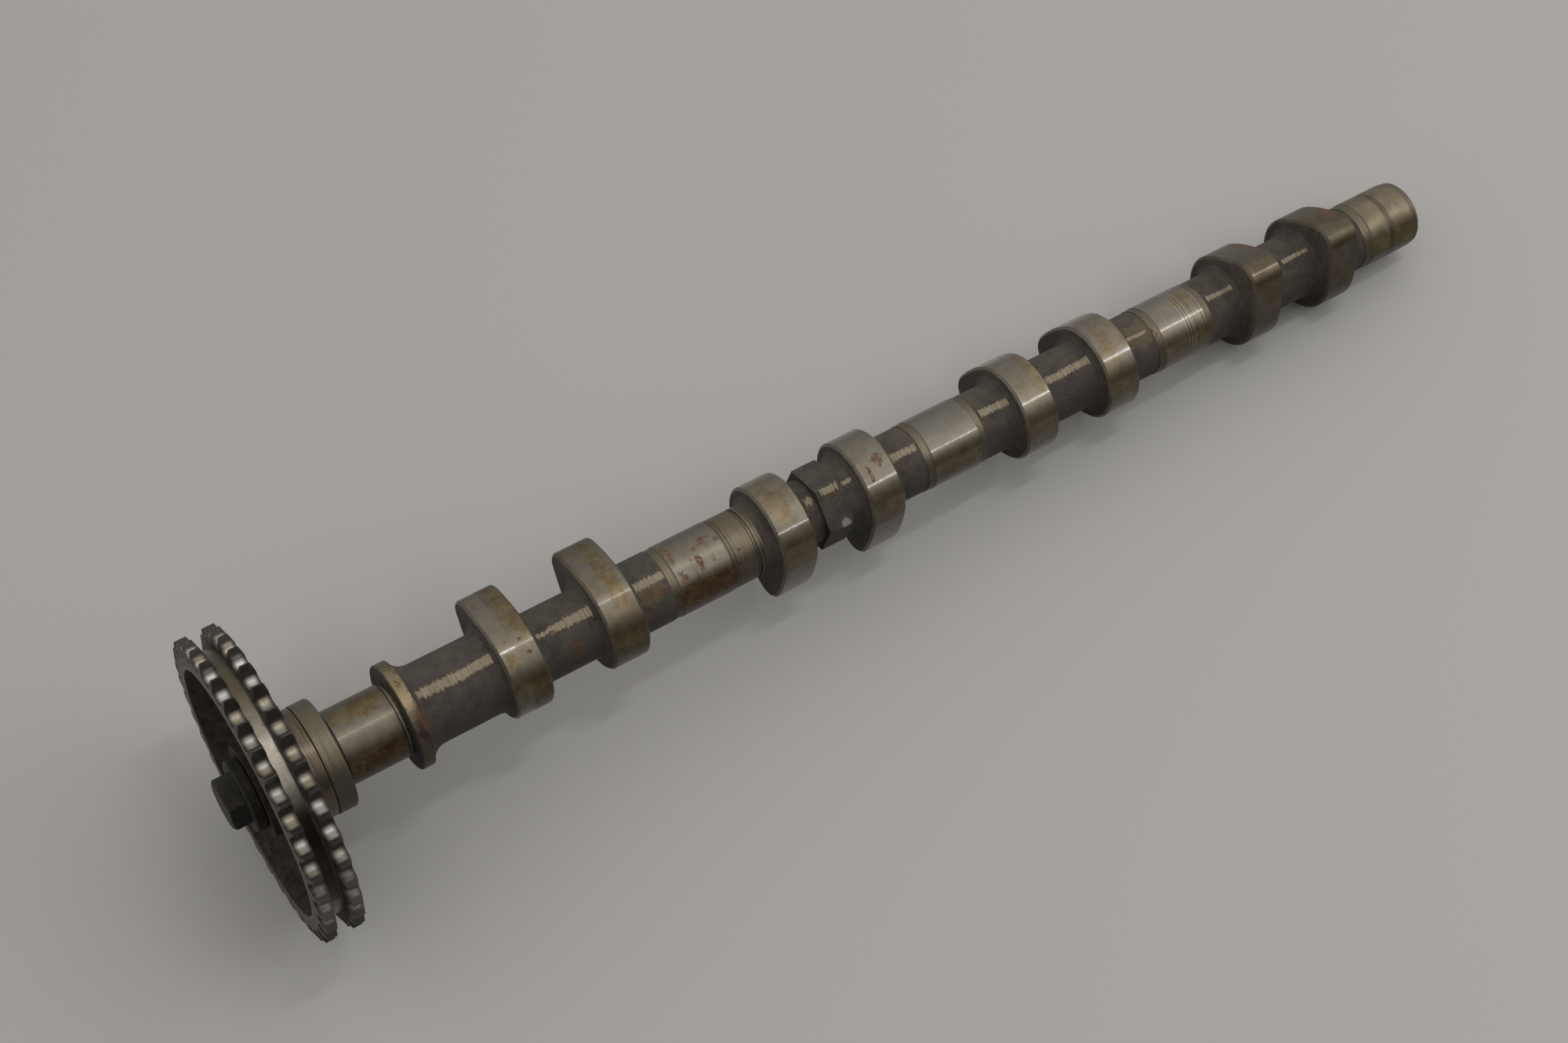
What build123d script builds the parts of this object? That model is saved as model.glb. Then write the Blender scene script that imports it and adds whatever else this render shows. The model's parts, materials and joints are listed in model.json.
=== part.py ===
from build123d import *
from math import acos, atan2, cos, degrees, hypot, pi, radians, sin, sqrt, tan
import os

os.makedirs("parts", exist_ok=True)

# All lengths in millimetres. The shaft is drawn along +X with x = 0 in the middle of the sprocket's
# two tooth rows; angles run from +Y towards +Z. At the end every piece takes the same resting place.

# ---- chain sprocket -------------------------------------------------------------------------------
CHAIN_PITCH = 9.525
ROLLER_D = 6.35
ROW_SPACING = 10.24
TEETH = 36
TOOTH_WIDTH = 5.3
PITCH_R = CHAIN_PITCH / (2 * sin(pi / TEETH))
TIP_R = PITCH_R + 0.278 * CHAIN_PITCH
SEAT_R = 0.505 * ROLLER_D
SEAT_ARC = radians(140 - 90 / TEETH)
FLANK_R = 0.12 * ROLLER_D * (TEETH + 2)
TIP_MARGIN = 1.0
TOOTH_RELIEF = 1.0
RELIEF_DEPTH = 3.2
GROOVE_R = PITCH_R - 0.73 * ROLLER_D
ROW_FACE = ROW_SPACING / 2 + TOOTH_WIDTH / 2
RIM_WALL = 3.0
DISH_MOUTH_R = GROOVE_R - RIM_WALL
DISH_FLOOR_R = DISH_MOUTH_R - 4.0
DISH_FLOOR_X = 0.5
DISH_BEVEL = 2.0
REAR_WEB_X = 5.6
REAR_RIM_R = GROOVE_R - RIM_WALL
HUB_R = 20.4
HUB_FRONT_X = -6.0
HUB_FRONT_R = 18.0
HUB_REAR_X = 16.6
EDGE = 0.5
TINY = 1e-6

# ---- shaft ----------------------------------------------------------------------------------------
SPIGOT_R = 10.0
SPIGOT_X = -5.4
SPIGOT_CLEARANCE = 0.01
COLLAR_R = 20.6
COLLAR_REAR = 23.8
COLLAR_EDGE = 0.25
JOURNAL_R = 14.0
JOURNAL_LENGTH = 22.3
JOURNAL_EDGE = 0.3
RING_R = 13.75
J1_FRONT = 25.0
J1_REAR = 47.4
RELIEF_R = 13.3
FLANGE_FRONT = 49.0
FLANGE_RIM_REAR = 53.5
FLANGE_R = 20.2
FLANGE_EDGE = 0.4
FLANGE_BLEND = 7.0
LEAD_R = 15.3
WAIST_R = 13.55
CAST_R = 13.9
CAST_BLEND = 2.6
CAST_BLEND_LENGTH = 3.6
CAST_BLEND_KNEE = 0.3

FIRST_PAIR = 113.7
BAY = 111.8
PAIRS = 4
LOBE_STEP = 39.6
LOBE_WIDTH = 15.0
LOBE_EDGE = 0.9
BASE_R = 19.55
NOSE_R = 8.3
NOSE_OFFSET = 19.4
LOBE_FLANK_R = 62.0
FIRST_PHASE = 18.0
PAIR_PHASES = (0, 225, 315, 90)

RING_FRONT = 3.0
RING_REAR = 2.4
TURNED_BAND = 8.6
TURNED_GROOVE = 0.9
TURNED_GROOVE_DEPTH = 0.55
LAST_RUN = 11.2
LAST_RING = 3.8
LAST_JOURNAL_LENGTH = 22.9
END_LENGTH = 3.1
END_R = 13.6
END_EDGE = 0.8
CENTRE_DRILL_R = 2.5
CENTRE_DRILL_DEPTH = 7.0
CENTRE_CONE_R = 4.6
CENTRE_CONE_DEPTH = 2.2

HEX_FROM_LOBE = 7.5
HEX_LENGTH = 10.2
HEX_CORNER_R = 16.3
HEX_TURN = 41.0
HEX_FRONT_NECK_R = 12.8
HEX_NECK_R = 14.0
HEX_ROUND = 3.0

# ---- bolt, washer and dowel -----------------------------------------------------------------------
BOLT_R = 5.0
BOLT_SHANK_R = 4.95
BOLT_HEAD_FRONT = -16.9
BOLT_HEAD_HEIGHT = 6.4
BOLT_FLATS = 17.0
BOLT_HEAD_EDGE = 0.9
BOLT_TURN = 12.0
BOLT_REACH = 24.0
TAPPED_DEPTH = 34.0
DRILL_POINT = 118
WASHER_R = 13.5
WASHER_BORE_R = 5.25
WASHER_EDGE = 0.6
DOWEL_R = 2.5
DOWEL_RING_R = 15.2
DOWEL_TURN = 90.0
DOWEL_LENGTH = 10.0
DOWEL_GAP = 0.3

LOBES = []
for pair in range(PAIRS):
    middle = FIRST_PAIR + BAY * pair
    turn = FIRST_PHASE + PAIR_PHASES[pair]
    LOBES.append((middle - LOBE_STEP / 2, turn))
    LOBES.append((middle + LOBE_STEP / 2, turn))
HEX_FRONT = LOBES[2][0] + LOBE_WIDTH / 2 + HEX_FROM_LOBE
HEX_REAR = HEX_FRONT + HEX_LENGTH
JOURNAL_FRONTS = [FIRST_PAIR + BAY * (bay + 0.5) - JOURNAL_LENGTH / 2 for bay in range(PAIRS - 1)]
LOBE_HALF = LOBE_WIDTH / 2
LAST_RING_FRONT = LOBES[-1][0] + LOBE_HALF + LAST_RUN
LAST_JOURNAL_FRONT = LAST_RING_FRONT + LAST_RING
LAST_JOURNAL_REAR = LAST_JOURNAL_FRONT + LAST_JOURNAL_LENGTH
SHAFT_END = LAST_JOURNAL_REAR + END_LENGTH
WASHER_FRONT = BOLT_HEAD_FRONT + BOLT_HEAD_HEIGHT


def cast_blend(foot, head):
    """The cast slope from the shaft up to a lobe's side, drawn as two straight runs with a knee."""
    knee_x = foot[0] + (head[0] - foot[0]) * (1 - CAST_BLEND_KNEE)
    knee_r = foot[1] + (head[1] - foot[1]) * CAST_BLEND_KNEE
    Polyline(foot, (knee_x, knee_r), head)


def outline(*points):
    """Straight lines through the points, without the ones that repeat."""
    kept = [points[0]]
    for point in points[1:]:
        if hypot(point[0] - kept[-1][0], point[1] - kept[-1][1]) > TINY:
            kept.append(point)
    Polyline(*kept)


# ---- one cam lobe: base circle, two flanks and nose -------------------------------------------------
flank_x = (
    (LOBE_FLANK_R - BASE_R) ** 2 - (LOBE_FLANK_R - NOSE_R) ** 2 + NOSE_OFFSET**2
) / (2 * NOSE_OFFSET)
flank_y = -sqrt((LOBE_FLANK_R - BASE_R) ** 2 - flank_x**2)
base_turn = atan2(-flank_y, -flank_x)
nose_turn = atan2(-flank_y, NOSE_OFFSET - flank_x)
flank_turn = (base_turn + nose_turn) / 2
base_touch = (BASE_R * cos(base_turn), BASE_R * sin(base_turn))
nose_touch = (NOSE_OFFSET + NOSE_R * cos(nose_turn), NOSE_R * sin(nose_turn))
flank_middle = (
    flank_x + LOBE_FLANK_R * cos(flank_turn),
    flank_y + LOBE_FLANK_R * sin(flank_turn),
)

with BuildPart() as lobe:
    with BuildSketch(Plane.YZ):
        with BuildLine():
            ThreePointArc(base_touch, (-BASE_R, 0), (base_touch[0], -base_touch[1]))
            ThreePointArc(base_touch, flank_middle, nose_touch)
            ThreePointArc(
                (base_touch[0], -base_touch[1]),
                (flank_middle[0], -flank_middle[1]),
                (nose_touch[0], -nose_touch[1]),
            )
            ThreePointArc(
                nose_touch, (NOSE_OFFSET + NOSE_R, 0), (nose_touch[0], -nose_touch[1])
            )
        make_face()
    extrude(amount=LOBE_HALF, both=True)
    chamfer(lobe.faces().filter_by(Axis.X).edges(), LOBE_EDGE)

# ---- camshaft casting -------------------------------------------------------------------------------
with BuildPart() as camshaft:
    # cast hexagon between the third and fourth lobes, rounded off behind
    with BuildSketch(Plane.YZ.offset(HEX_FRONT)):
        RegularPolygon(HEX_CORNER_R, 6, rotation=HEX_TURN)
    extrude(amount=HEX_REAR + HEX_ROUND - HEX_FRONT)
    with BuildSketch(Plane.XY):
        with BuildLine():
            Polyline(
                (HEX_REAR + HEX_ROUND, HEX_NECK_R - TIP_MARGIN),
                (HEX_REAR + HEX_ROUND, HEX_CORNER_R + TIP_MARGIN),
                (HEX_REAR, HEX_CORNER_R + TIP_MARGIN),
                (HEX_REAR, HEX_CORNER_R),
            )
            TangentArc(
                (HEX_REAR + HEX_ROUND, HEX_NECK_R - TIP_MARGIN),
                (HEX_REAR, HEX_CORNER_R),
                tangent=(-1, 0.6),
            )
        make_face()
    revolve(axis=Axis.X, mode=Mode.SUBTRACT)

    # turned and cast outline of the shaft
    with BuildSketch(Plane.XY):
        with BuildLine():
            Polyline(
                (SPIGOT_X, 0),
                (SPIGOT_X, SPIGOT_R - EDGE),
                (SPIGOT_X + EDGE, SPIGOT_R),
                (HUB_REAR_X, SPIGOT_R),
                (HUB_REAR_X, COLLAR_R - COLLAR_EDGE),
                (HUB_REAR_X + COLLAR_EDGE, COLLAR_R),
                (COLLAR_REAR - EDGE, COLLAR_R),
                (COLLAR_REAR, COLLAR_R - EDGE),
                (COLLAR_REAR, RELIEF_R),
                (J1_FRONT, RELIEF_R),
                (J1_FRONT, JOURNAL_R - JOURNAL_EDGE),
                (J1_FRONT + JOURNAL_EDGE, JOURNAL_R),
                (J1_REAR - JOURNAL_EDGE, JOURNAL_R),
                (J1_REAR, JOURNAL_R - JOURNAL_EDGE),
                (J1_REAR, RELIEF_R),
                (FLANGE_FRONT, RELIEF_R),
                (FLANGE_FRONT, FLANGE_R - FLANGE_EDGE),
                (FLANGE_FRONT + FLANGE_EDGE, FLANGE_R),
                (FLANGE_RIM_REAR, FLANGE_R),
            )
            foot = (FLANGE_RIM_REAR + FLANGE_BLEND, LEAD_R)
            TangentArc(foot, (FLANGE_RIM_REAR, FLANGE_R), tangent=(-1, 0))
            for number, (place, turn) in enumerate(LOBES):
                front = place - LOBE_HALF
                rear = place + LOBE_HALF
                pair, second = divmod(number, 2)
                if number == 0:
                    before = LEAD_R
                elif second:
                    before = HEX_NECK_R if pair == 1 else WAIST_R
                elif pair == 1:
                    before = RING_R
                else:
                    before = WAIST_R
                if second:
                    after = CAST_R if pair == 0 else WAIST_R
                else:
                    after = HEX_FRONT_NECK_R if pair == 1 else WAIST_R
                foot_in = (front - CAST_BLEND_LENGTH, before)
                foot_out = (rear + CAST_BLEND_LENGTH, after)
                Line(foot, foot_in)
                cast_blend(foot_in, (front, before + CAST_BLEND))
                outline(
                    (front, before + CAST_BLEND),
                    (place, before + CAST_BLEND),
                    (place, after + CAST_BLEND),
                    (rear, after + CAST_BLEND),
                )
                cast_blend(foot_out, (rear, after + CAST_BLEND))
                foot = foot_out
                if number == 2:
                    # waist before the hexagon, which stands on it, and a fuller neck behind
                    outline(foot, (HEX_REAR, HEX_FRONT_NECK_R), (HEX_REAR, HEX_NECK_R))
                    foot = (HEX_REAR, HEX_NECK_R)
                if second and pair < PAIRS - 1:
                    # ground journal between two rings turned just under its size
                    start = JOURNAL_FRONTS[pair]
                    stop = start + JOURNAL_LENGTH
                    outline(
                        foot,
                        (start - RING_FRONT, after),
                        (start - RING_FRONT, RING_R),
                        (start, RING_R),
                        (start, JOURNAL_R - JOURNAL_EDGE),
                        (start + JOURNAL_EDGE, JOURNAL_R),
                        (stop - JOURNAL_EDGE, JOURNAL_R),
                        (stop, JOURNAL_R - JOURNAL_EDGE),
                        (stop, RING_R),
                        (stop + RING_REAR, RING_R),
                    )
                    foot = (stop + RING_REAR, RING_R)
                    if pair > 0:
                        Line(foot, (foot[0], WAIST_R))
                        foot = (foot[0], WAIST_R)
            Polyline(
                foot,
                (LAST_RING_FRONT, WAIST_R),
                (LAST_RING_FRONT, RING_R),
                (LAST_JOURNAL_FRONT, RING_R),
                (LAST_JOURNAL_FRONT, JOURNAL_R - JOURNAL_EDGE),
                (LAST_JOURNAL_FRONT + JOURNAL_EDGE, JOURNAL_R),
                (LAST_JOURNAL_REAR - JOURNAL_EDGE, JOURNAL_R),
                (LAST_JOURNAL_REAR, JOURNAL_R - JOURNAL_EDGE),
                (LAST_JOURNAL_REAR, END_R),
                (SHAFT_END - END_EDGE, END_R),
                (SHAFT_END, END_R - END_EDGE),
                (SHAFT_END, 0),
                (SPIGOT_X, 0),
            )
        make_face()
    revolve(axis=Axis.X)

    # cam lobes, two of one phase in each pair
    for place, turn in LOBES:
        with Locations(Location((place, 0, 0), (turn, 0, 0))):
            add(lobe.part)

    # turned groove behind the second journal
    second_rear = JOURNAL_FRONTS[0] + JOURNAL_LENGTH + RING_REAR
    with BuildSketch(Plane.XY):
        with Locations((second_rear + TURNED_BAND, RING_R)):
            Rectangle(TURNED_GROOVE, 2 * TURNED_GROOVE_DEPTH)
    revolve(axis=Axis.X, mode=Mode.SUBTRACT)

    # tapped hole for the bolt, with its drill point
    with BuildSketch(Plane.XY):
        with BuildLine():
            Polyline(
                (SPIGOT_X, 0),
                (SPIGOT_X, BOLT_R + EDGE),
                (SPIGOT_X + EDGE, BOLT_R),
                (SPIGOT_X + TAPPED_DEPTH, BOLT_R),
                (SPIGOT_X + TAPPED_DEPTH + BOLT_R / tan(radians(DRILL_POINT / 2)), 0),
                close=True,
            )
        make_face()
    revolve(axis=Axis.X, mode=Mode.SUBTRACT)

    # centre drilling in the rear end
    with BuildSketch(Plane.XY):
        with BuildLine():
            Polyline(
                (SHAFT_END, 0),
                (SHAFT_END, CENTRE_CONE_R),
                (SHAFT_END - CENTRE_CONE_DEPTH, CENTRE_DRILL_R),
                (SHAFT_END - CENTRE_DRILL_DEPTH, CENTRE_DRILL_R),
                (SHAFT_END - CENTRE_DRILL_DEPTH - CENTRE_DRILL_R / tan(radians(DRILL_POINT / 2)), 0),
                close=True,
            )
        make_face()
    revolve(axis=Axis.X, mode=Mode.SUBTRACT)

    # dowel hole in the collar's front face
    with BuildSketch(Plane.YZ.offset(HUB_REAR_X)):
        with PolarLocations(DOWEL_RING_R, 1, start_angle=DOWEL_TURN):
            Circle(DOWEL_R + SPIGOT_CLEARANCE)
    extrude(amount=DOWEL_LENGTH / 2 + DOWEL_GAP, mode=Mode.SUBTRACT)

# ---- sprocket ---------------------------------------------------------------------------------------
seat_end = (PITCH_R - SEAT_R * cos(SEAT_ARC / 2), SEAT_R * sin(SEAT_ARC / 2))
tooth_x = PITCH_R - (SEAT_R + FLANK_R) * cos(SEAT_ARC / 2)
tooth_y = (SEAT_R + FLANK_R) * sin(SEAT_ARC / 2)
gap_top = TIP_R + TIP_MARGIN
gap_half = (seat_end[0] + gap_top) / 2
top_end = (gap_top, tooth_y - sqrt(FLANK_R**2 - (gap_top - tooth_x) ** 2))
flank_mid = (gap_half, tooth_y - sqrt(FLANK_R**2 - (gap_half - tooth_x) ** 2))

with BuildSketch() as tooth_gap:
    with BuildLine():
        ThreePointArc(seat_end, (PITCH_R - SEAT_R, 0), (seat_end[0], -seat_end[1]))
        ThreePointArc(seat_end, flank_mid, top_end)
        ThreePointArc(
            (seat_end[0], -seat_end[1]), (flank_mid[0], -flank_mid[1]), (top_end[0], -top_end[1])
        )
        Line(top_end, (top_end[0], -top_end[1]))
    make_face()

with BuildPart() as timing_sprocket:
    # two rows of teeth on one drum, with a gap between teeth straight down
    for side in (-1, 1):
        with BuildSketch(Plane.YZ.offset(side * ROW_SPACING / 2)):
            Circle(TIP_R)
            with PolarLocations(0, TEETH):
                add(tooth_gap.sketch, mode=Mode.SUBTRACT)
        extrude(amount=TOOTH_WIDTH / 2, both=True)
    with BuildSketch(Plane.YZ.offset(-ROW_FACE + EDGE)):
        Circle(GROOVE_R)
    extrude(amount=2 * (ROW_FACE - EDGE))

    # sides of the teeth bevelled in towards the tips
    for side in (-1, 1):
        for outward in (-1, 1):
            face = side * ROW_SPACING / 2 + outward * TOOTH_WIDTH / 2
            with BuildSketch(Plane.XY):
                with BuildLine():
                    Polyline(
                        (face, TIP_R - RELIEF_DEPTH),
                        (face - outward * TOOTH_RELIEF, TIP_R),
                        (face - outward * TOOTH_RELIEF, TIP_R + TIP_MARGIN),
                        (face + outward * EDGE, TIP_R + TIP_MARGIN),
                        (face + outward * EDGE, TIP_R - RELIEF_DEPTH),
                        close=True,
                    )
                make_face()
            revolve(axis=Axis.X, mode=Mode.SUBTRACT)

    # dish in the front, shallow recess in the rear
    with BuildSketch(Plane.XY):
        with BuildLine():
            Polyline(
                (-ROW_FACE - TIP_MARGIN, 0),
                (-ROW_FACE - TIP_MARGIN, DISH_MOUTH_R),
                (-ROW_FACE, DISH_MOUTH_R),
                (DISH_FLOOR_X - DISH_BEVEL, DISH_FLOOR_R),
                (DISH_FLOOR_X, DISH_FLOOR_R - DISH_BEVEL),
                (DISH_FLOOR_X, HUB_FRONT_R),
                (HUB_FRONT_X, HUB_FRONT_R - EDGE),
                (HUB_FRONT_X, 0),
                (-ROW_FACE - TIP_MARGIN, 0),
            )
        make_face()
        with BuildLine():
            Polyline(
                (REAR_WEB_X, HUB_R),
                (REAR_WEB_X, REAR_RIM_R - EDGE),
                (ROW_FACE, REAR_RIM_R),
                (ROW_FACE + TIP_MARGIN, REAR_RIM_R),
                (ROW_FACE + TIP_MARGIN, HUB_R),
                close=True,
            )
        make_face()
    revolve(axis=Axis.X, mode=Mode.SUBTRACT)

    # hub that meets the shaft's collar
    with BuildSketch(Plane.YZ.offset(REAR_WEB_X)):
        Circle(HUB_R)
    extrude(amount=HUB_REAR_X - REAR_WEB_X)
    chamfer(timing_sprocket.faces().sort_by(Axis.X)[-1].edges(), COLLAR_EDGE)

    # bore and dowel hole
    with BuildSketch(Plane.YZ.offset(HUB_FRONT_X)):
        Circle(SPIGOT_R + SPIGOT_CLEARANCE)
    extrude(amount=HUB_REAR_X - HUB_FRONT_X, mode=Mode.SUBTRACT)
    with BuildSketch(Plane.YZ.offset(HUB_REAR_X)):
        with PolarLocations(DOWEL_RING_R, 1, start_angle=DOWEL_TURN):
            Circle(DOWEL_R + SPIGOT_CLEARANCE)
    extrude(amount=-DOWEL_LENGTH / 2 - DOWEL_GAP, mode=Mode.SUBTRACT)

# ---- washer, bolt and dowel -------------------------------------------------------------------------
with BuildPart() as bolt_washer:
    with BuildSketch(Plane.YZ.offset(WASHER_FRONT)):
        Circle(WASHER_R)
        Circle(WASHER_BORE_R, mode=Mode.SUBTRACT)
    extrude(amount=HUB_FRONT_X - WASHER_FRONT)
    chamfer(bolt_washer.edges().filter_by(GeomType.CIRCLE).sort_by(SortBy.RADIUS)[-2:], WASHER_EDGE)

with BuildPart() as sprocket_bolt:
    with BuildSketch(Plane.YZ.offset(BOLT_HEAD_FRONT)):
        RegularPolygon(BOLT_FLATS / 2, 6, major_radius=False, rotation=BOLT_TURN)
    extrude(amount=BOLT_HEAD_HEIGHT)
    corner_r = BOLT_FLATS / sqrt(3)
    flat_r = BOLT_FLATS / 2
    with BuildSketch(Plane.XY):
        with BuildLine():
            Polyline(
                (BOLT_HEAD_FRONT, flat_r - EDGE / 2),
                (BOLT_HEAD_FRONT + BOLT_HEAD_EDGE, corner_r + EDGE / 2),
                (BOLT_HEAD_FRONT, corner_r + EDGE / 2),
                close=True,
            )
        make_face()
    revolve(axis=Axis.X, mode=Mode.SUBTRACT)
    with BuildSketch(Plane.YZ.offset(WASHER_FRONT)):
        Circle(BOLT_SHANK_R)
    extrude(amount=HUB_FRONT_X - WASHER_FRONT + BOLT_REACH)
    chamfer(sprocket_bolt.faces().sort_by(Axis.X)[-1].edges(), EDGE)

with BuildPart() as locating_dowel:
    with BuildSketch(Plane.YZ.offset(HUB_REAR_X - DOWEL_LENGTH / 2)):
        with PolarLocations(DOWEL_RING_R, 1, start_angle=DOWEL_TURN):
            Circle(DOWEL_R)
    extrude(amount=DOWEL_LENGTH)
    chamfer(locating_dowel.edges().filter_by(GeomType.CIRCLE), EDGE)

# ---- resting place: the rear tooth row and the last lobe touch the floor ------------------------------
tooth_reach = hypot(tooth_x, tooth_y)
tip_spread = acos((tooth_reach**2 + TIP_R**2 - FLANK_R**2) / (2 * tooth_reach * TIP_R))
tip_contact_r = TIP_R * cos(atan2(tooth_y, tooth_x) - tip_spread)
tip_contact_x = ROW_SPACING / 2 + TOOTH_WIDTH / 2 - TOOTH_RELIEF
lobe_contact_x = LOBES[-1][0] + LOBE_HALF - LOBE_EDGE
rest_angle = degrees(atan2(tip_contact_r - BASE_R, lobe_contact_x - tip_contact_x))
PIECES = {
    "camshaft": camshaft,
    "timing_sprocket": timing_sprocket,
    "bolt_washer": bolt_washer,
    "sprocket_bolt": sprocket_bolt,
    "locating_dowel": locating_dowel,
}
turned = {}
for name, piece in PIECES.items():
    turned[name] = piece.part.rotate(Axis.Y, rest_angle)
boxes = [piece.bounding_box() for piece in turned.values()]
low_x = min(box.min.X for box in boxes)
high_x = max(box.max.X for box in boxes)
low_z = min(box.min.Z for box in boxes)
shift = Location((-(low_x + high_x) / 2, 0, -low_z))

for name, piece in turned.items():
    rested = piece.moved(shift)
    rested.label = name
    export_step(rested, "parts/" + name + ".step")
    box = rested.bounding_box()
    print(name, rested.is_valid, len(rested.solids()), "volume", round(rested.volume / 1000, 2), "cm3")
    print("   x", round(box.min.X, 3), round(box.max.X, 3), "z", round(box.min.Z, 3), round(box.max.Z, 3))


def placed(x):
    """Where a point on the shaft's own axis ends up."""
    point = Vector(x, 0, 0).rotate(Axis.Y, rest_angle) + shift.position
    return tuple(round(value / 1000, 6) for value in point)


print("rest angle", round(rest_angle, 4))
print("axis", round(cos(radians(rest_angle)), 6), 0, round(-sin(radians(rest_angle)), 6))
print("first journal", placed((J1_FRONT + J1_REAR) / 2))
for start in JOURNAL_FRONTS:
    print("journal", placed(start + JOURNAL_LENGTH / 2))
print("last journal", placed((LAST_JOURNAL_FRONT + LAST_JOURNAL_REAR) / 2))
print("sprocket middle", placed(0), "bolt head front", placed(BOLT_HEAD_FRONT), "shaft end", placed(SHAFT_END))
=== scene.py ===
import json
import math

import bpy
from mathutils import Euler, Matrix, Vector

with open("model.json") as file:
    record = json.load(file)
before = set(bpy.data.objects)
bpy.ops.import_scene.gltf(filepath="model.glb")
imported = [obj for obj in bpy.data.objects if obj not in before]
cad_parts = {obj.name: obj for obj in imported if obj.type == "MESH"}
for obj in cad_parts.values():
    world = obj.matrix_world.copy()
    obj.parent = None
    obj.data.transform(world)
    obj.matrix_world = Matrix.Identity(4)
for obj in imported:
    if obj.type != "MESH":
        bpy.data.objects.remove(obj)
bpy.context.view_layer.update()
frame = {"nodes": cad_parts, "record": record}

# The shaft's own axis, from the record: the middle of the sprocket's two rows in metres, the way to the
# rear, the way up and the way to the far side.
mounts = {mount["name"]: mount for mount in frame["record"]["mounts"]}
AXIS_POINT = tuple(mounts["chain_teeth"]["pos_m"])
AXIS_WAY = tuple(mounts["chain_teeth"]["axis"])
AXIS_UP = (-AXIS_WAY[2], 0.0, AXIS_WAY[0])
AXIS_SIDE = (0.0, 1.0, 0.0)
MILLIMETRES = 1000.0

# Camera as fitted to the photograph: place in metres, turn in degrees, lens and sensor in millimetres.
CAMERA_PLACE = (-0.28742, -0.35916, 0.79252)
CAMERA_TURN = (30.1287, -0.944, -32.9557)
CAMERA_LENS = 53.586
CAMERA_SENSOR = 36

# Along the shaft in millimetres, with places counted from the sprocket's middle. MIDDLE_JOURNALS holds
# the front ends of the second, third and fourth journal. RING_FRONT and RING_REAR say how far the turned
# rings reach in front of them and behind them.
SHAFT_FRONT = -20.0
FIRST_PAIR = 113.7
BAY = 111.8
PAIRS = 4
LOBE_STEP = 39.6
LOBE_HALF = 7.5
LOBE_MARGIN = 0.05
LOBES = [FIRST_PAIR + BAY * pair + side * LOBE_STEP / 2 for pair in range(PAIRS) for side in (-1, 1)]
JOURNAL_LENGTH = 22.3
MIDDLE_JOURNALS = [FIRST_PAIR + BAY * (bay + 0.5) - JOURNAL_LENGTH / 2 for bay in range(PAIRS - 1)]
RING_FRONT = 3.0
RING_REAR = 2.4
BAND_BEHIND_SECOND = 11.25
COLLAR_REAR = 24.4
RELIEF_FRONT = 47.4
FLANGE_FRONT = 49.0
FLANGE_REAR = 53.6
LAST_RING = 487.6
LAST_JOURNAL = 491.4
LAST_JOURNAL_REAR = 514.3

# Places on the sprocket, in millimetres out from the axis and along it.
DISH_MOUTH_R = 47.0
DISH_REAR = 3.5
LIP_REAR = -6.0
GROOVE_R = 50.0
GROOVE_FRONT = -2.45
GROOVE_REAR = 1.75
TOOTH_FOOT_R = 50.9
ROW_MIDDLE = 5.12
HUB_R = 21.0
HUB_FRONT = 9.0
SEAT_FADE_R = (55.6, 54.0)
SEAT_FOOT_R = (51.6, 53.2)

# Turns round the shaft in degrees: 0 on the far side, 90 on top and 180 on the near side.
# Painted highlight: the teeth's bright wear colour is strongest within this range.
SEAT_HIGHLIGHT_TURNS = (46.0, 154.0)
# Painted highlight and painted shade on the groove floor: golden over the first range, dark over the
# second.
FLOOR_PAINTED_HIGHLIGHT = (76.0, 104.0)
FLOOR_PAINTED_SHADE = (116.0, 134.0)
# Painted shade: the ground metal turns brown over this range of the near side.
PAINTED_UNDERSIDE_SHADE = (118.0, 150.0)
PARTING_ANGLE = 103.0


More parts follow.
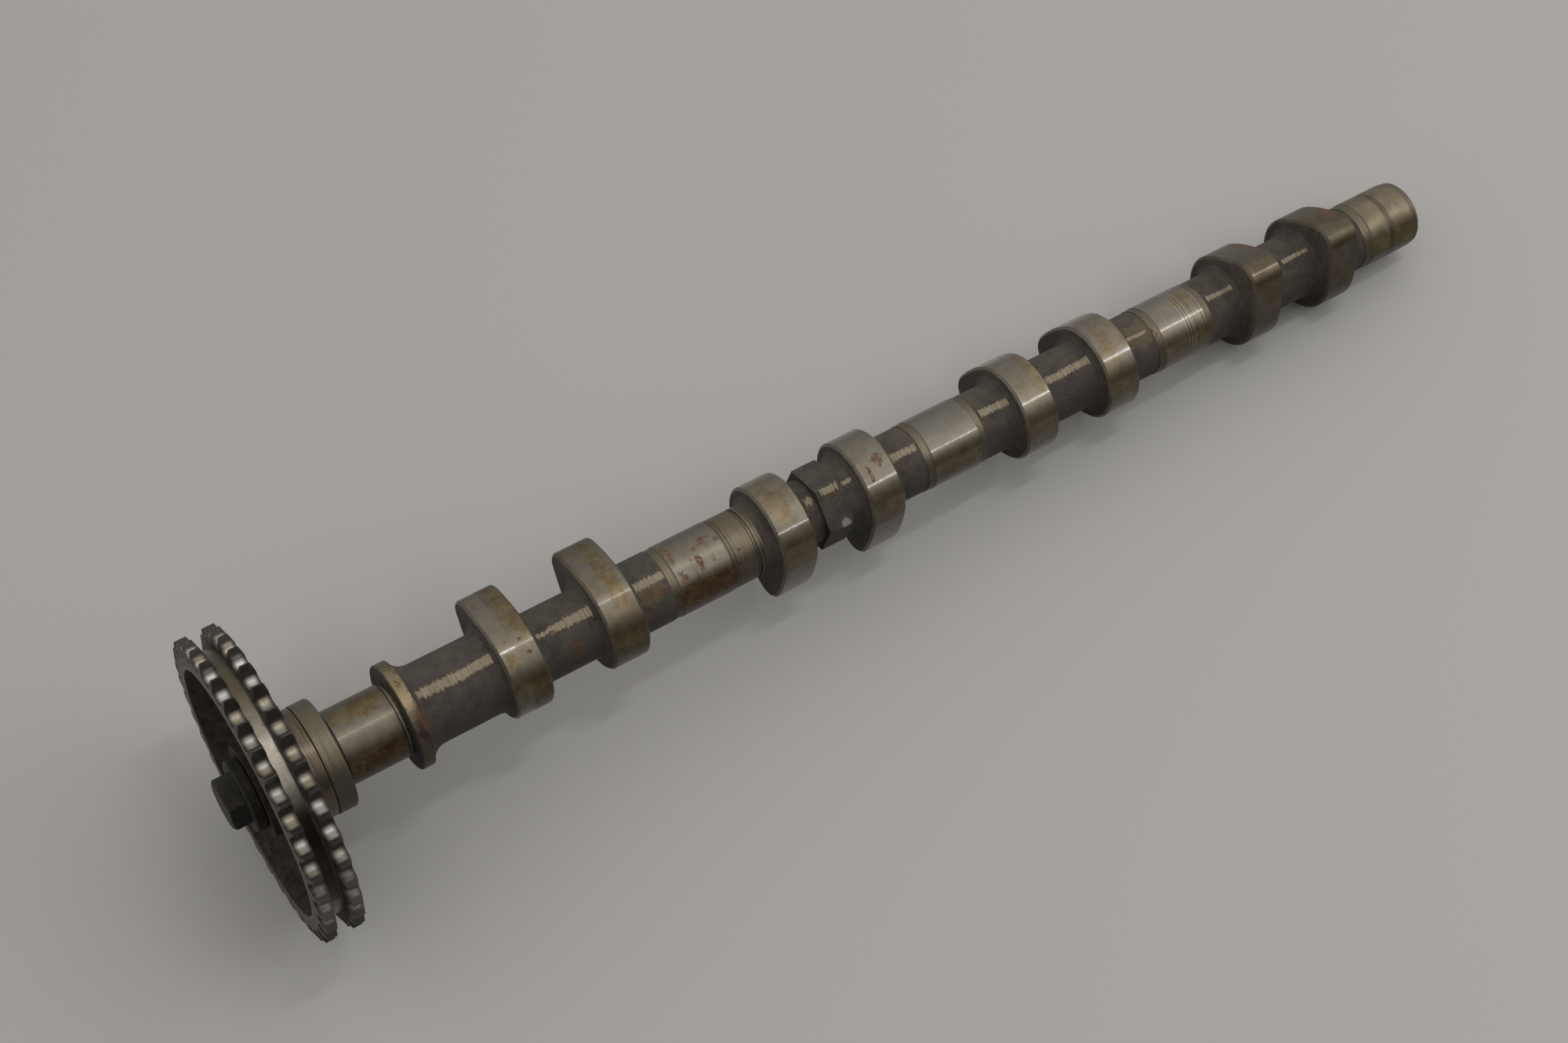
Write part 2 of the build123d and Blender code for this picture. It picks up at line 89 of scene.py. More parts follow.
class Graph:
    """Builds shader nodes in a material's tree. It is called g below, since most lines use it."""

    def __init__(self, tree):
        self.tree = tree

    def node(self, kind, **settings):
        made = self.tree.nodes.new(kind)
        for key, value in settings.items():
            setattr(made, key, value)
        return made

    def plug(self, socket, value):
        if hasattr(value, "is_output"):
            self.tree.links.new(value, socket)
        elif value is not None:
            socket.default_value = value

    def math(self, operation, a, b=None, c=None, clamp=False):
        made = self.node("ShaderNodeMath", operation=operation, use_clamp=clamp)
        for socket, value in zip(made.inputs, (a, b, c)):
            self.plug(socket, value)
        return made.outputs[0]

    def add(self, a, b):
        return self.math("ADD", a, b)

    def minus(self, a, b):
        return self.math("SUBTRACT", a, b)

    def absolute(self, a):
        return self.math("ABSOLUTE", a)

    def times(self, a, b):
        return self.math("MULTIPLY", a, b)

    def both(self, *masks):
        """Masks multiplied with each other."""
        total = masks[0]
        for mask in masks[1:]:
            total = self.times(total, mask)
        return total

    def either(self, *masks):
        """The highest of several masks."""
        total = masks[0]
        for mask in masks[1:]:
            total = self.math("MAXIMUM", total, mask)
        return total

    def inverse(self, mask):
        return self.math("SUBTRACT", 1.0, mask, clamp=True)

    def spread(self, value, low, high, new_low=0.0, new_high=1.0, smooth=True):
        """Maps the range from low to high onto a new one and holds the ends."""
        made = self.node("ShaderNodeMapRange", interpolation_type="SMOOTHSTEP" if smooth else "LINEAR")
        for socket, number in zip(made.inputs, (value, low, high, new_low, new_high)):
            self.plug(socket, number)
        return made.outputs[0]

    def band(self, value, low, high, soft=0.3):
        """A mask between two places, with soft edges."""
        up = self.spread(value, low - soft, low + soft)
        down = self.spread(value, high - soft, high + soft, 1.0, 0.0)
        return self.times(up, down)

    def lines(self, value, places, half, soft):
        """A narrow band at each of several places."""
        return self.either(*[self.band(value, place - half, place + half, soft) for place in places])

    def vector_math(self, operation, a, b=None):
        made = self.node("ShaderNodeVectorMath", operation=operation)
        self.plug(made.inputs[0], a)
        self.plug(made.inputs[1], b)
        return made.outputs["Value" if operation in ("DOT_PRODUCT", "LENGTH") else "Vector"]

    def join(self, x, y, z):
        made = self.node("ShaderNodeCombineXYZ")
        for socket, value in zip(made.inputs, (x, y, z)):
            self.plug(socket, value)
        return made.outputs[0]

    def dim(self, colour, level):
        """A colour with all three parts multiplied by one level."""
        return self.vector_math("MULTIPLY", colour, self.join(level, level, level))

    def noise(self, vector, scale=1.0, detail=3.0, roughness=0.5, distortion=0.0):
        made = self.node("ShaderNodeTexNoise")
        self.plug(made.inputs["Vector"], vector)
        self.plug(made.inputs["Scale"], scale)
        self.plug(made.inputs["Detail"], detail)
        self.plug(made.inputs["Roughness"], roughness)
        self.plug(made.inputs["Distortion"], distortion)
        return made.outputs["Fac"]

    def mix(self, share, a, b):
        """A share of the way from one colour to another."""
        made = self.node("ShaderNodeMix", data_type="RGBA")
        self.plug(made.inputs[0], share)
        self.plug(made.inputs[6], (*a, 1) if isinstance(a, tuple) else a)
        self.plug(made.inputs[7], (*b, 1) if isinstance(b, tuple) else b)
        return made.outputs[2]

    def tint(self, colour, mask, strength, tone):
        """Lays a tone over a colour where a mask is, at a share of its full strength."""
        return self.mix(self.times(mask, strength), colour, tone)

    def blend(self, share, a, b):
        """A share of the way from one number to another."""
        made = self.node("ShaderNodeMix", data_type="FLOAT")
        for index, value in zip((0, 2, 3), (share, a, b)):
            self.plug(made.inputs[index], value)
        return made.outputs[0]

    def bump(self, height, distance, strength, normal=None):
        made = self.node("ShaderNodeBump")
        self.plug(made.inputs["Strength"], strength)
        self.plug(made.inputs["Distance"], distance)
        self.plug(made.inputs["Height"], height)
        if normal is not None:
            self.plug(made.inputs["Normal"], normal)
        return made.outputs[0]

    def profile(self, value, stops):
        """A value that jumps to a new level at each place in a list of (place, level) pairs."""
        total = stops[0][1]
        level = stops[0][1]
        for place, new_level in stops[1:]:
            passed = self.math("GREATER_THAN", value, place)
            total = self.math("MULTIPLY_ADD", passed, new_level - level, total)
            level = new_level
        return total

    def spots(self, flat, ragged, marks):
        """Blotches on the unrolled surface: (place, angle, half length, half angle) for each."""
        total = None
        for place, turn, half_length, half_turn in marks:
            away = self.vector_math("SUBTRACT", flat, (place, turn, 0.0))
            away = self.vector_math("DIVIDE", away, (half_length, half_turn, 1.0))
            reach = self.add(self.vector_math("LENGTH", away), ragged)
            mask = self.spread(reach, 1.1, 0.75)
            total = mask if total is None else self.math("MAXIMUM", total, mask)
        return total


class Surface:
    """Where a point lies on the shaft: millimetres along and out from the axis, and degrees round it."""

    def __init__(self, g):
        place = g.node("ShaderNodeTexCoord").outputs["Object"]
        from_axis = g.vector_math("SUBTRACT", place, AXIS_POINT)
        self.along = g.times(g.vector_math("DOT_PRODUCT", from_axis, AXIS_WAY), MILLIMETRES)
        side = g.times(g.vector_math("DOT_PRODUCT", from_axis, AXIS_SIDE), MILLIMETRES)
        up = g.times(g.vector_math("DOT_PRODUCT", from_axis, AXIS_UP), MILLIMETRES)
        self.out = g.math("SQRT", g.add(g.times(side, side), g.times(up, up)))
        self.angle = g.math("DEGREES", g.math("ARCTAN2", up, side))
        self.solid = g.join(self.along, side, up)
        self.flat = g.join(self.along, self.angle, 0.0)
        normal = g.node("ShaderNodeNewGeometry").outputs["Normal"]
        self.facing = g.absolute(g.vector_math("DOT_PRODUCT", normal, AXIS_WAY))
        self.upward = g.vector_math("DOT_PRODUCT", normal, AXIS_UP)


def start(name):
    """A new material with a graph to build on and its shader."""
    material = bpy.data.materials.new(name)
    material.use_nodes = True
    return material, Graph(material.node_tree), material.node_tree.nodes["Principled BSDF"]


def finish(g, shader, colour, metallic, roughness, normal=None):
    """Plugs the finished values into the shader."""
    g.plug(shader.inputs["Base Color"], colour)
    g.plug(shader.inputs["Metallic"], metallic)
    g.plug(shader.inputs["Roughness"], roughness)
    if normal is not None:
        g.plug(shader.inputs["Normal"], normal)


def dress(node, material):
    """Gives a CAD node its material."""
    for slot in frame["nodes"][node].material_slots:
        slot.material = material


# ---- camshaft: cast skin, turned rings, ground journals and lobes -----------------------------------
# Each finish starts at its place along the shaft and goes on to the next one's.
CAST, TURNED, GROUND = 0.0, 0.5, 1.0
FINISHES = [(SHAFT_FRONT, TURNED), (COLLAR_REAR, GROUND), (RELIEF_FRONT, TURNED), (FLANGE_REAR, CAST)]
for centre in LOBES:
    FINISHES.append((centre - LOBE_HALF - LOBE_MARGIN, GROUND))
    FINISHES.append((centre + LOBE_HALF + LOBE_MARGIN, CAST))
for front in MIDDLE_JOURNALS:
    rear = front + JOURNAL_LENGTH
    turned_rear = rear + RING_REAR + (BAND_BEHIND_SECOND if front == MIDDLE_JOURNALS[0] else 0.0)
    FINISHES.append((front - RING_FRONT, TURNED))
    FINISHES.append((front, GROUND))
    FINISHES.append((rear, TURNED))
    FINISHES.append((turned_rear, CAST))
FINISHES += [(LAST_RING, TURNED), (LAST_JOURNAL, GROUND), (LAST_JOURNAL_REAR, TURNED)]
FINISHES.sort()

# From each place along the shaft on: how bright the bare metal is, its share of yellow-brown varnish,
# its share of rust, how wide the ground-off parting line is, and how much wet oil lies on the metal.
BRIGHTNESS = [(SHAFT_FRONT, 0.9), (60.0, 1.0), (141.5, 1.12), (190.0, 1.0), (300.0, 1.06),
              (379.0, 1.15), (407.0, 0.66), (480.0, 1.3)]
VARNISH = [(SHAFT_FRONT, 0.5), (COLLAR_REAR, 0.45), (RELIEF_FRONT, 0.95), (60.0, 0.55), (126.0, 0.6),
           (155.0, 0.35), (180.8, 0.85), (197.0, 0.75), (237.0, 0.55), (267.0, 0.32), (292.6, 0.5),
           (309.0, 0.62), (349.0, 0.75), (378.0, 0.45), (404.4, 0.6), (421.0, 0.9), (487.0, 0.65)]
RUST = [(SHAFT_FRONT, 0.05), (COLLAR_REAR, 0.1), (50.0, 0.3), (60.0, 0.05), (101.5, 0.2), (126.0, 0.12),
        (141.0, 0.4), (155.4, 0.6), (181.0, 0.25), (197.0, 0.15), (237.0, 0.35), (253.0, 0.08),
        (309.0, 0.12), (325.0, 0.28), (364.0, 0.15), (382.0, 0.2), (421.0, 0.36), (437.0, 0.28),
        (461.0, 0.36), (476.0, 0.15)]
PARTING = [(SHAFT_FRONT, 0.0), (55.5, 0.55), (58.0, 0.85), (85.0, 0.0), (103.0, 0.4), (108.0, 0.75),
           (114.0, 1.0), (125.0, 0.0), (142.8, 0.8), (155.0, 0.0), (216.4, 0.85), (219.8, 0.0),
           (222.5, 0.6), (230.0, 0.0), (232.0, 0.45), (236.5, 0.0), (255.0, 0.75), (266.2, 0.0),
           (296.3, 0.8), (309.0, 0.0), (327.0, 0.75), (348.3, 0.0), (366.7, 0.35), (377.0, 0.0),
           (408.3, 0.5), (421.7, 0.0), (447.5, 0.45), (461.0, 0.0)]
OIL = [(SHAFT_FRONT, 0.12), (60.0, 1.0), (93.2, 0.3), (126.0, 0.35), (141.0, 0.1), (190.0, 1.0),
       (267.0, 0.75), (300.0, 1.0), (380.0, 0.8), (407.0, 0.5), (450.0, 0.3), (480.0, 0.1)]

# Single marks, each as place along, angle, half length and half angle.
GOLDEN = [(38, 70, 9, 24), (30, 74, 5, 16), (99, 62, 4.5, 42), (90, 118, 3, 12), (135.5, 76, 3.2, 60),
          (204, 92, 5, 30), (322, 80, 3, 40), (356, 90, 3, 40), (398, 80, 5, 22), (51, 88, 3, 30)]
RUSTY = [(115.5, 146, 3, 14), (161.8, 123, 1.6, 10), (169.5, 112, 1.3, 17), (171.5, 88, 3, 4),
         (175, 80, 3, 4), (179.5, 90, 1.2, 5), (160.3, 76, 1.6, 20), (54.2, 128, 1.8, 17),
         (51.3, 86, 1.0, 5), (147, 122, 2.5, 9), (152, 128, 2, 7), (242.3, 112, 0.8, 10),
         (247.5, 100, 2.2, 8), (97, 116, 1, 2), (96, 100, 0.8, 2), (228, 111, 2.5, 4),
         (437, 70, 5, 16), (474, 78, 4, 16), (145, 152, 2, 12), (326.3, 112, 1.0, 6),
         (379.5, 118, 1.2, 12), (109, 106, 1.4, 3), (257, 118, 1.5, 4)]
RED_BROWN = [(166, 154, 10, 18), (176, 158, 7, 18), (300, 160, 3, 10), (52.5, 136, 3, 18),
             (36, 158, 9, 14)]
SCRATCHES = [(203.5, 78, 2.0, 1.0), (205.5, 81, 1.2, 0.8), (211, 78, 1.8, 1.2), (213.2, 118, 0.8, 3.0),
             (213.5, 75, 1.0, 1.5), (185, 122, 0.5, 2.5), (91, 96, 0.6, 0.8)]
STAINED = [(373, 104, 8, 26), (148, 118, 6, 22)]
HARDNESS_DOT = [(228.1, 159, 2.0, 8.0)]

# Rings round the shaft by their places along it. A band and the pale line have two edges.
DARK_LINES = (47.1, 48.7, 181.2, 182.5, 190.8, 193.6)
SCORED_RINGS = (394.3, 395.6, 397.0)
STAINED_RINGS = (394.9, 396.3, 399.0, 402.6)
STAINED_BAND = (500.9, 503.6)
PALE_LINE = (47.5, 48.3)
RED_BROWN_TONE = (0.080, 0.034, 0.018)


class ShaftSkin:
    """The noises and masks that the shaft's finishes share."""

    def __init__(self, g, at):
        self.broad = g.noise(at.solid, 0.07, 3.0, 0.6)
        self.middling = g.noise(at.solid, 0.22, 4.0, 0.65)
        self.small = g.noise(at.solid, 0.55, 5.0, 0.7)
        self.fine = g.noise(at.solid, 1.5, 5.0, 0.7)
        self.grain = g.noise(at.solid, 3.0, 3.0, 0.65)
        lathe_marks = g.join(g.times(at.along, 4.5), g.times(at.angle, 0.013), 0.0)
        self.rings = g.noise(lathe_marks, 1.0, 4.0, 0.7)
        self.ring_tone = g.spread(self.rings, 0.3, 0.7)
        self.ragged = g.times(g.minus(self.small, 0.5), 2.6)
        kind = g.profile(at.along, FINISHES)
        self.outer = g.spread(at.facing, 0.86, 0.6)
        self.ground = g.both(g.math("GREATER_THAN", kind, 0.8), self.outer)
        turned = g.both(g.math("GREATER_THAN", kind, 0.2), g.math("LESS_THAN", kind, 0.8))
        self.turned = g.times(turned, self.outer)
        self.bare = g.either(self.ground, g.times(self.turned, 0.85))
        self.golden = g.spots(at.flat, self.ragged, GOLDEN)
        self.red_brown = g.times(g.spots(at.flat, g.times(self.ragged, 1.8), RED_BROWN), 0.6)


def cast_skin(g, at, skin):
    """Dark cast skin with sand grain and two stained stretches."""
    colour = g.mix(g.spread(skin.middling, 0.3, 0.72), (0.040, 0.033, 0.026), (0.082, 0.067, 0.053))
    colour = g.tint(colour, g.spread(skin.broad, 0.45, 0.7), 0.45, (0.094, 0.078, 0.058))
    colour = g.tint(colour, g.spread(skin.fine, 0.52, 0.70), 0.55, (0.15, 0.13, 0.105))
    colour = g.tint(colour, g.spread(skin.grain, 0.42, 0.3), 0.5, (0.016, 0.014, 0.012))
    return g.tint(colour, g.spots(at.flat, skin.ragged, STAINED), 0.75, (0.13, 0.10, 0.055))


def parting_streak(g, at, skin):
    """The ragged ground-off parting line on both sides of the casting: its mask and its colour."""
    wobble = g.times(g.minus(g.noise(at.solid, 0.10, 2.0), 0.5), 7.0)
    comb = g.noise(g.join(at.along, 0.0, 0.0), 0.95, 3.0, 0.9)
    reach = g.add(g.spread(comb, 0.33, 0.66, 4.0, 11.5), g.math("SINE", g.times(at.along, 3.4)))
    turn = g.add(at.angle, wobble)
    to_near = g.absolute(g.minus(turn, PARTING_ANGLE))
    to_far = g.absolute(g.minus(turn, PARTING_ANGLE - 180.0))
    share = g.profile(at.along, PARTING)
    short_of = g.minus(g.times(reach, share), g.math("MINIMUM", to_near, to_far))
    mask = g.both(g.spread(short_of, -0.6, 0.9), g.math("GREATER_THAN", share, 0.05), skin.outer)
    mask = g.times(mask, g.spread(skin.fine, 0.25, 0.5, 0.35, 1.0))
    return mask, g.mix(g.spread(skin.rings, 0.3, 0.65), (0.14, 0.112, 0.072), (0.38, 0.315, 0.215))


def ground_metal(g, at, skin):
    """Ground steel under old oil, with rings on the last two journals and painted brown shade low on the
    near side: its colour and roughness.
    """
    metal = g.mix(skin.ring_tone, (0.110, 0.104, 0.094), (0.185, 0.176, 0.160))
    amber = g.mix(g.spread(skin.middling, 0.35, 0.7), (0.112, 0.078, 0.034), (0.180, 0.138, 0.070))
    # Painted shade: on the lower near side the varnish share rises by angle alone, so the metal turns
    # brown there.
    painted_underside_shade = g.spread(at.angle, *PAINTED_UNDERSIDE_SHADE)
    varnish_and_painted_shade = g.times(g.profile(at.along, VARNISH), g.spread(skin.broad, 0.3, 0.6, 0.45, 1.0))
    varnish_and_painted_shade = g.either(varnish_and_painted_shade, g.times(skin.golden, 0.9), g.times(painted_underside_shade, 0.95))
    metal = g.mix(varnish_and_painted_shade, metal, amber)
    metal = g.tint(metal, g.spread(skin.fine, 0.58, 0.8), 0.3, (0.06, 0.05, 0.04))
    metal = g.mix(skin.red_brown, metal, RED_BROWN_TONE)
    metal = g.dim(metal, g.profile(at.along, BRIGHTNESS))
    stained = g.lines(at.along, STAINED_RINGS, 0.2, 0.1)
    stained = g.either(stained, g.times(g.band(at.along, *STAINED_BAND, 0.4), 0.75))
    metal = g.tint(metal, g.lines(at.along, SCORED_RINGS, 0.16, 0.1), 0.55, (0.36, 0.33, 0.28))
    metal = g.tint(metal, stained, 0.7, (0.045, 0.038, 0.028))
    return metal, g.add(g.blend(skin.ring_tone, 0.34, 0.43), g.times(varnish_and_painted_shade, 0.04))


def turned_bronze(g, at, skin):
    """The varnished colour of the turned rings, the collar and the flange's rim."""
    flange = g.band(at.along, FLANGE_FRONT, FLANGE_REAR, 0.1)
    colour = g.mix(skin.ring_tone, (0.085, 0.071, 0.050), (0.185, 0.160, 0.118))
    colour = g.tint(colour, g.spread(skin.middling, 0.4, 0.7), 0.5, (0.13, 0.095, 0.050))
    colour = g.tint(colour, skin.golden, 0.8, (0.30, 0.23, 0.13))
    colour = g.mix(skin.red_brown, colour, RED_BROWN_TONE)
    return g.tint(colour, flange, 0.2, (0.035, 0.028, 0.020))


def rust_marks(g, at, skin):
    """Blotches of rust with ragged edges: scattered ones and placed ones, as mask and colour."""
    limit = g.blend(g.profile(at.along, RUST), 0.72, 0.50)
    scattered = g.spread(g.minus(g.noise(at.solid, 0.34, 6.0, 0.72, 0.4), limit), 0.0, 0.05)
    scattered = g.both(scattered, g.spread(skin.broad, 0.38, 0.55), 0.7)
    ragged_edge = g.spread(g.noise(at.solid, 0.9, 4.0, 0.75), 0.44, 0.51)
    placed = g.both(g.spots(at.flat, skin.ragged, RUSTY), ragged_edge, 0.97)
    colour = g.mix(g.spread(skin.fine, 0.35, 0.65), (0.048, 0.017, 0.007), (0.155, 0.061, 0.022))
    return g.either(scattered, placed), colour


def shaft_material():
    """Cast iron: its skin, turned rings and ground faces, chosen by the place along the shaft."""
    material, g, shader = start("cast_shaft")
    at = Surface(g)
    skin = ShaftSkin(g, at)
    metal, metal_rough = ground_metal(g, at, skin)
    streak, streak_colour = parting_streak(g, at, skin)
    rust, rust_colour = rust_marks(g, at, skin)
    scratch = g.times(g.spots(at.flat, skin.ragged, SCRATCHES), 0.9)
    dot = g.spots(at.flat, g.times(skin.ragged, 0.15), HARDNESS_DOT)
    dark_lines = g.both(g.lines(at.along, DARK_LINES, 0.22, 0.12), skin.outer, 0.75)
    pale_line = g.both(g.band(at.along, *PALE_LINE, 0.15), skin.outer, 0.6)
    # Painted shade: every colour below is darkened the further a point lies round from the top of the
    # shaft, down to 0.56 on the sides and beneath.
    shade = g.spread(g.math("SINE", g.math("RADIANS", at.angle)), 0.1, 0.88, 0.56, 1.0, smooth=False)

    colour = g.mix(skin.turned, cast_skin(g, at, skin), turned_bronze(g, at, skin))
    colour = g.mix(skin.ground, colour, metal)
    colour = g.mix(streak, colour, streak_colour)
    colour = g.mix(rust, colour, rust_colour)
    colour = g.mix(dot, colour, (0.30, 0.29, 0.275))
    colour = g.mix(scratch, colour, (0.016, 0.012, 0.009))
    colour = g.mix(dark_lines, colour, (0.030, 0.025, 0.018))
    colour = g.mix(pale_line, colour, (0.30, 0.27, 0.22))
    # Lays the painted shade over the finished colour.
    colour = g.dim(colour, shade)

    metallic = g.both(g.blend(skin.bare, 0.3, 1.0), g.inverse(g.times(rust, 0.9)))
    metallic = g.both(metallic, g.inverse(g.times(streak, 0.6)), g.inverse(scratch))
    rough = g.blend(skin.turned, g.blend(skin.middling, 0.5, 0.7), 0.40)
    rough = g.blend(skin.ground, rough, metal_rough)
    rough = g.blend(streak, rough, 0.45)
    rough = g.blend(rust, rough, 0.68)
    sand = g.times(g.add(g.times(skin.grain, 0.8), g.times(skin.fine, 0.8)), g.inverse(skin.bare))
    normal = g.bump(sand, 0.0004, 0.9)
    normal = g.bump(g.times(skin.rings, skin.bare), 0.00004, 0.45, normal)
    normal = g.bump(g.times(g.either(rust, scratch), skin.fine), 0.00012, 0.5, normal)
    patchy = g.spread(skin.small, 0.3, 0.6, 0.45, 0.85)
    oil = g.both(skin.ground, g.inverse(rust), g.profile(at.along, OIL), patchy)
    g.plug(shader.inputs["Coat Weight"], oil)
    g.plug(shader.inputs["Coat Roughness"], 0.11)
    finish(g, shader, colour, metallic, rough, normal)
    return material


# ---- sprocket: dark oily steel, chain wear with painted highlight on the teeth, painted light on the groove floor ---
def groove_floor(g, at, broad):
    """The floor between the rows: golden, with a painted highlight over the top, duller on the far side
    and darkened by painted shade on the near side.
    """
    gold_and_highlight = g.mix(g.spread(at.angle, *FLOOR_PAINTED_HIGHLIGHT), (0.115, 0.098, 0.066), (0.26, 0.235, 0.195))
    gold_and_highlight = g.tint(gold_and_highlight, g.spread(broad, 0.45, 0.6), 0.4, (0.12, 0.10, 0.075))
    return g.mix(g.spread(at.angle, *FLOOR_PAINTED_SHADE), gold_and_highlight, (0.030, 0.024, 0.018))


def seat_wear_and_highlight(g, at, teeth):
    """Chain wear with a painted highlight on the teeth: the middle of each row, only on faces that look
    up, strongest round the top of the ring.
    """
    off_row = g.absolute(g.minus(g.absolute(at.along), ROW_MIDDLE))
    low_enough = g.spread(at.out, *SEAT_FADE_R)
    dull_foot = g.spread(at.out, *SEAT_FOOT_R, 0.62, 1.0)
    # Painted highlight: the bright wear colour goes only on faces that look up, and fades away from the
    # top of the ring.
    mask = g.both(low_enough, g.spread(off_row, 2.5, 0.6), g.spread(at.upward, 0.5, 0.95), dull_foot)
    highlight_side = g.blend(g.band(at.angle, *SEAT_HIGHLIGHT_TURNS, 8.0), 0.25, 1.0)
    return g.both(mask, teeth, highlight_side)


def sprocket_material():
    """Dark oily steel, browner on the hub, and browner and far darker in the dish, the darkness there
    being painted shade.
    """
    material, g, shader = start("sprocket_steel")
    at = Surface(g)
    turned = g.join(g.times(at.along, 4.0), g.times(at.angle, 0.03), g.times(at.out, 3.0))
    rings = g.noise(turned, 1.0, 4.0, 0.6)
    broad = g.noise(at.solid, 0.08, 3.0, 0.6)
    middling = g.noise(at.solid, 0.3, 4.0, 0.65)
    mottled = g.spread(middling, 0.3, 0.7)
    fine = g.noise(at.solid, 1.6, 4.0, 0.7)
    edgewise = g.spread(at.facing, 0.6, 0.3)

    dish = g.spread(at.out, DISH_MOUTH_R + 0.2, DISH_MOUTH_R - 0.4)
    dish = g.times(dish, g.spread(at.along, DISH_REAR, DISH_REAR - 0.5))
    lip = g.band(at.out, DISH_MOUTH_R - 0.3, DISH_MOUTH_R + 0.7, 0.15)
    lip = g.both(lip, g.spread(at.facing, 0.5, 0.8), g.spread(at.along, LIP_REAR, LIP_REAR - 0.5))
    teeth = g.both(g.spread(at.out, TOOTH_FOOT_R, TOOTH_FOOT_R + 0.3), edgewise)
    wear_and_highlight_mask = seat_wear_and_highlight(g, at, teeth)
    groove = g.band(at.along, GROOVE_FRONT, GROOVE_REAR, 0.25)
    groove = g.both(groove, g.band(at.out, GROOVE_R - 0.5, GROOVE_R + 0.6, 0.2), edgewise)
    hub = g.both(g.spread(at.along, HUB_FRONT - 0.5, HUB_FRONT), g.spread(at.out, HUB_R + 0.5, HUB_R))
    rust = g.both(g.spread(g.noise(at.solid, 0.5, 5.0, 0.7), 0.6, 0.66), 0.6)

    dark = g.mix(mottled, (0.040, 0.034, 0.029), (0.088, 0.077, 0.063))
    dark = g.tint(dark, g.spread(rings, 0.45, 0.7), 0.4, (0.13, 0.115, 0.09))
    # Painted shade: the inside of the dish is made far darker than the rest.
    dark = g.mix(dish, dark, g.mix(mottled, (0.014, 0.010, 0.008), (0.040, 0.030, 0.022)))
    wear_and_highlight_colour = g.mix(g.spread(broad, 0.4, 0.6), (0.50, 0.43, 0.32), (0.62, 0.60, 0.56))
    bronze = g.mix(g.spread(rings, 0.3, 0.7), (0.075, 0.060, 0.044), (0.150, 0.126, 0.094))
    colour = g.mix(teeth, dark, (0.018, 0.015, 0.012))
    # Chain wear and painted highlight on the teeth.
    colour = g.mix(wear_and_highlight_mask, colour, wear_and_highlight_colour)
    colour = g.mix(groove, colour, groove_floor(g, at, broad))
    colour = g.tint(colour, lip, 0.6, (0.19, 0.155, 0.11))
    colour = g.mix(hub, colour, bronze)
    colour = g.mix(rust, colour, (0.12, 0.045, 0.022))

    bare = g.either(wear_and_highlight_mask, groove, hub)
    metallic = g.blend(bare, g.blend(teeth, 0.6, 0.3), g.blend(wear_and_highlight_mask, 1.0, 0.6))
    metallic = g.both(metallic, g.inverse(g.times(dish, 0.8)))
    rough = g.blend(bare, g.blend(middling, 0.40, 0.56), g.blend(wear_and_highlight_mask, 0.34, 0.40))
    rough = g.blend(dish, rough, 0.7)
    g.plug(shader.inputs["Specular IOR Level"], g.blend(dish, 0.5, 0.12))
    relief = g.times(g.add(g.times(rings, 0.6), g.times(fine, 0.5)), g.inverse(g.times(teeth, 0.8)))
    finish(g, shader, colour, metallic, rough, g.bump(relief, 0.00006, 0.5))
    return material


# ---- small steel pieces -----------------------------------------------------------------------------
def oily(name, low, high, rough_low, rough_high):
    """Steel under oil, with specks."""
    material, g, shader = start(name)
    at = Surface(g)
    middling = g.noise(at.solid, 0.35, 4.0, 0.65)
    fine = g.noise(at.solid, 2.0, 4.0, 0.7)
    colour = g.mix(g.spread(middling, 0.3, 0.7), low, high)
    colour = g.tint(colour, g.spread(fine, 0.6, 0.8), 0.5, tuple(2.2 * part for part in high))
    normal = g.bump(g.add(fine, middling), 0.00008, 0.5)
    finish(g, shader, colour, 0.6, g.blend(middling, rough_low, rough_high), normal)
    return material


dress("camshaft", shaft_material())
dress("timing_sprocket", sprocket_material())
dress("bolt_washer", oily("washer_steel", (0.012, 0.010, 0.008), (0.026, 0.022, 0.018), 0.5, 0.65))
dress("sprocket_bolt", oily("bolt_steel", (0.013, 0.011, 0.009), (0.028, 0.024, 0.020), 0.5, 0.65))
dress("locating_dowel", oily("dowel_steel", (0.3, 0.3, 0.3), (0.4, 0.4, 0.4), 0.25, 0.35))

# ---- floor ------------------------------------------------------------------------------------------
FLOOR_SIZE = 60
FLOOR_COLOUR = (0.355, 0.346, 0.333, 1)
material, g, shader = start("floor_grey")
finish(g, shader, FLOOR_COLOUR, 0.0, 0.8)
bpy.ops.mesh.primitive_plane_add(size=FLOOR_SIZE, location=(0, 0, 0))
floor = bpy.context.object
floor.name = "floor"
floor.data.materials.append(material)


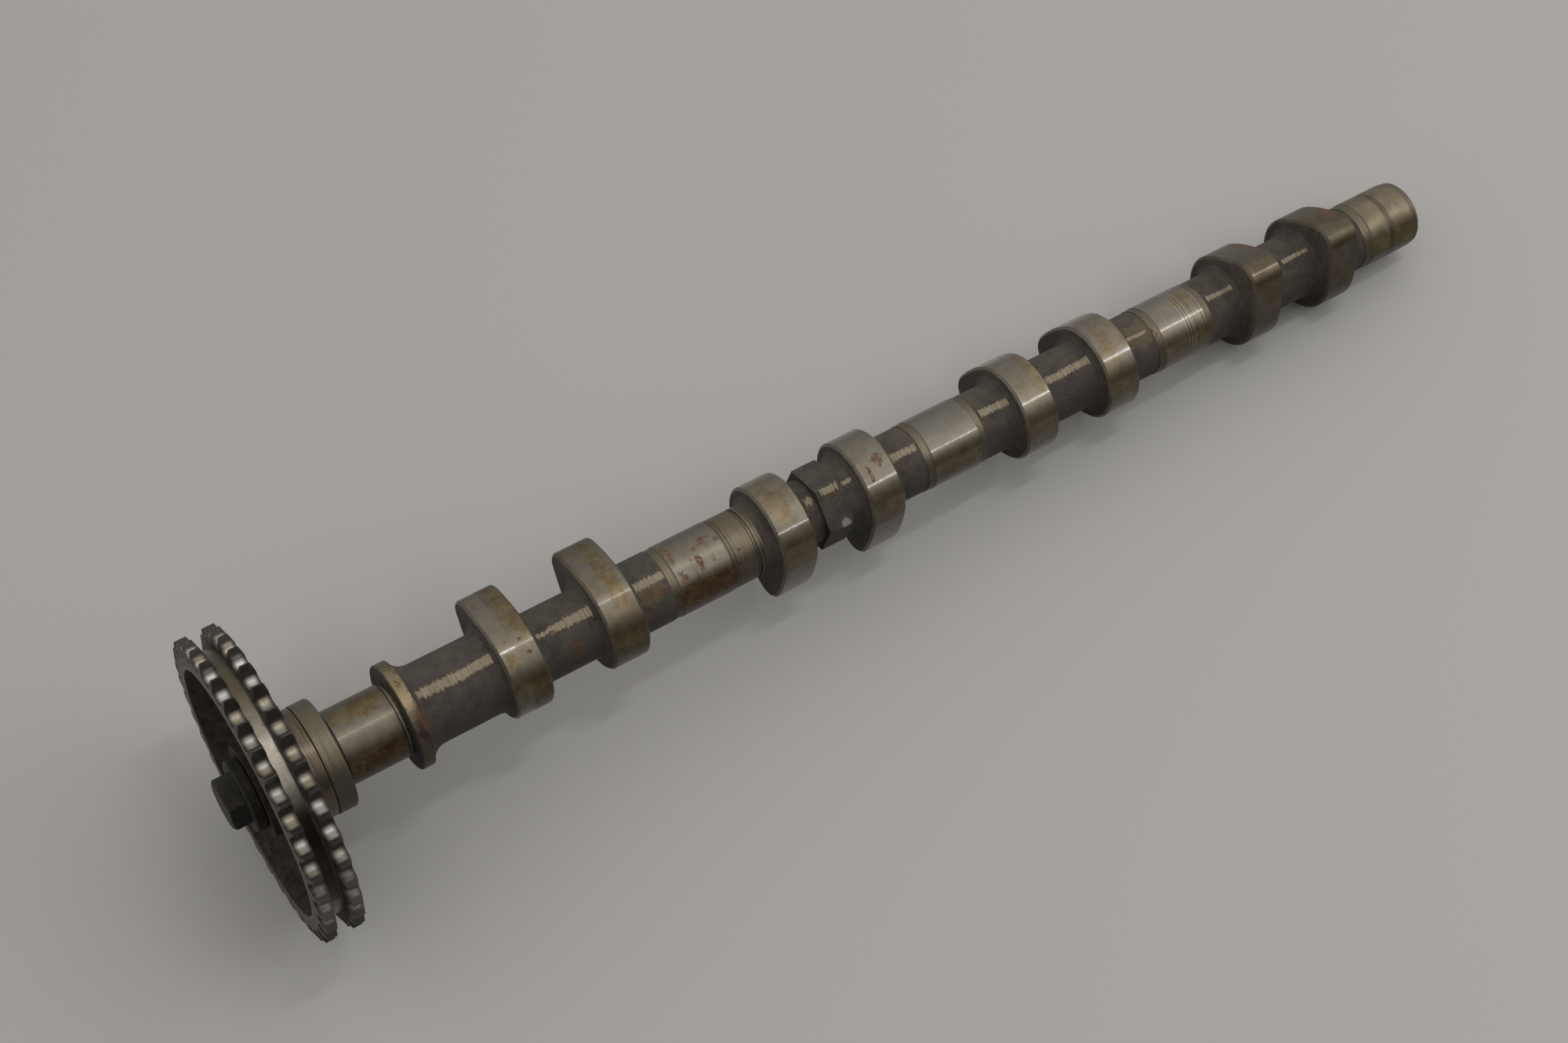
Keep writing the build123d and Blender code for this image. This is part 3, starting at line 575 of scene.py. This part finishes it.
# ---- light ------------------------------------------------------------------------------------------
def area(name, place, size, power, turn=0):
    """A soft rectangular lamp that looks straight down, turned about its own line of sight."""
    data = bpy.data.lights.new(name, "AREA")
    data.shape = "RECTANGLE"
    data.size, data.size_y = size
    data.energy = power
    lamp = bpy.data.objects.new(name, data)
    bpy.context.scene.collection.objects.link(lamp)
    aimed = Vector((0, 0, -1)).to_track_quat("-Z", "Y").to_matrix().to_4x4()
    lamp.matrix_world = Matrix.Translation(place) @ aimed @ Matrix.Rotation(math.radians(turn), 4, "Z")
    return lamp


area("strip_near", (1.13, -0.98, 1.5), (0.05, 1.3), 8, -26.5)
area("strip_far", (0.27, -0.13, 1.5), (0.45, 0.09), 2.6)

# Soft room light, as brightness by the angle round the shaft: brightest overhead, falling slowly to the
# far wall and quickly to the near one.
SKY = [(-180, 0.06), (-90, 0.2), (0, 0.50), (22, 0.68), (42, 0.88), (62, 1.0), (80, 0.98), (120, 0.95),
       (134, 0.68), (146, 0.38), (160, 0.14), (180, 0.06)]
SKY_TINT = (1.0, 0.985, 0.955)
world = bpy.data.worlds.new("soft")
bpy.context.scene.world = world
world.use_nodes = True
background = world.node_tree.nodes["Background"]
g = Graph(world.node_tree)
way = g.node("ShaderNodeSeparateXYZ")
g.plug(way.inputs[0], g.node("ShaderNodeTexCoord").outputs["Generated"])
round_shaft = g.math("DEGREES", g.math("ARCTAN2", way.outputs["Z"], way.outputs["Y"]))
sky = g.node("ShaderNodeValToRGB")
g.plug(sky.inputs[0], g.spread(round_shaft, -180.0, 180.0, smooth=False))
for stop, (turn, level) in enumerate(SKY):
    place = (turn + 180) / 360
    made = sky.color_ramp.elements.new(place) if stop > 1 else sky.color_ramp.elements[stop]
    made.position = place
    made.color = (*(level * part for part in SKY_TINT), 1)
g.plug(background.inputs["Color"], sky.outputs[0])
background.inputs["Strength"].default_value = 1.0

# ---- camera -----------------------------------------------------------------------------------------
camera_data = bpy.data.cameras.new("camera")
camera_data.sensor_width = CAMERA_SENSOR
camera_data.lens = CAMERA_LENS
camera = bpy.data.objects.new("camera", camera_data)
camera.location = CAMERA_PLACE
camera.rotation_euler = Euler([math.radians(part) for part in CAMERA_TURN])
bpy.context.scene.collection.objects.link(camera)
bpy.context.scene.camera = camera

bpy.context.scene.view_settings.view_transform = "Standard"
